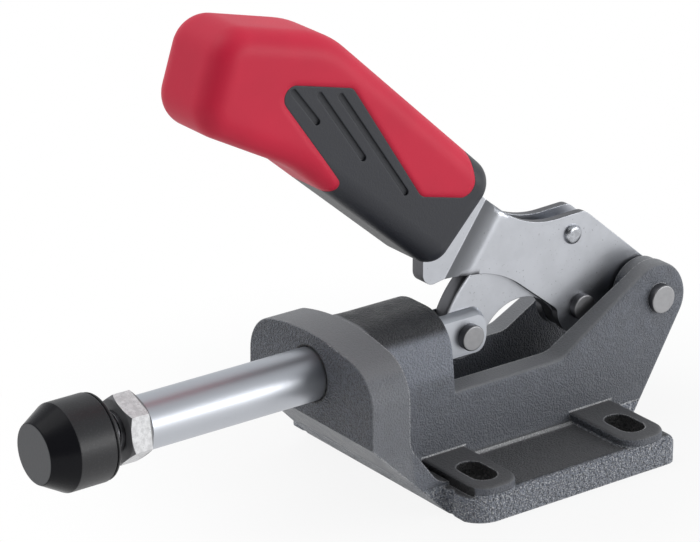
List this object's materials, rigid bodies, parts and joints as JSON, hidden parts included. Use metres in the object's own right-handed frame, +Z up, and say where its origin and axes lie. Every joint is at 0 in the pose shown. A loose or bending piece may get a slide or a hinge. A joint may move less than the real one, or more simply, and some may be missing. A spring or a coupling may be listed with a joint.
{
  "type": "toggle clamp",
  "caption": "Push-pull toggle clamp: cast base with slotted foot, handle with moulded grip, crescent link and a sliding plunger with a rubber-capped screw.",
  "frame": {"origin": "on the underside of the foot, in the middle of its four bolt slots", "axes": "+X is the way the plunger pushes, +Z is up off the foot, +Y is across the foot"},
  "size_m": [0.2227, 0.094, 0.1504],
  "materials": {
    "casting_paint": "hammered grey stove enamel on a rough casting",
    "chromed_shaft": "ground and bright",
    "zinc_steel": "zinc plated, satin",
    "handle_steel": "zinc plated sheet, satin",
    "pin_steel": "turned, riveted ends",
    "black_rubber": "moulded",
    "black_grip": "fine moulded grain",
    "red_grip": "satin moulding"
  },
  "bodies": {
    "base": {"base_casting": "casting_paint", "base_pivot_pin": "pin_steel", "pivot_spacer_left": "zinc_steel", "pivot_spacer_right": "zinc_steel"},
    "handle": {"handle_plate_left": "handle_steel", "handle_plate_right": "handle_steel", "link_pivot_pin": "pin_steel", "pivot_sleeve": "zinc_steel", "stop_rivet": "zinc_steel", "stop_sleeve": "zinc_steel", "tang_rivet_front": "zinc_steel", "tang_rivet_rear": "zinc_steel", "grip_core": "black_grip", "grip_cover": "red_grip"},
    "link": {"link": "handle_steel"},
    "plunger": {"plunger": "chromed_shaft", "plunger_pin": "pin_steel", "pressure_screw": "zinc_steel", "lock_nut": "zinc_steel", "pressure_cap": "black_rubber"}
  },
  "joints": [
    {"name": "handle_swing", "type": "hinge", "parent": "base", "child": "handle", "pos_m": [-0.05698, 0, 0.038], "axis": [0, -1, 0], "range_deg": [0, 120]},
    {"name": "link_swing", "type": "hinge", "parent": "handle", "child": "link", "pos_m": [-0.03499, 0, 0.0372], "axis": [0, -1, 0], "range_deg": [-148, 0]},
    {"name": "plunger_slide", "type": "slide", "parent": "base", "child": "plunger", "axis": [1, 0, 0], "range_m": [-0.037, 0]}
  ],
  "couplings": [
    {"joint": "link_swing", "follows": "handle_swing", "ratio": -1.2329},
    {"joint": "plunger_slide", "follows": "handle_swing", "m_per_rad": -0.017629}
  ]
}
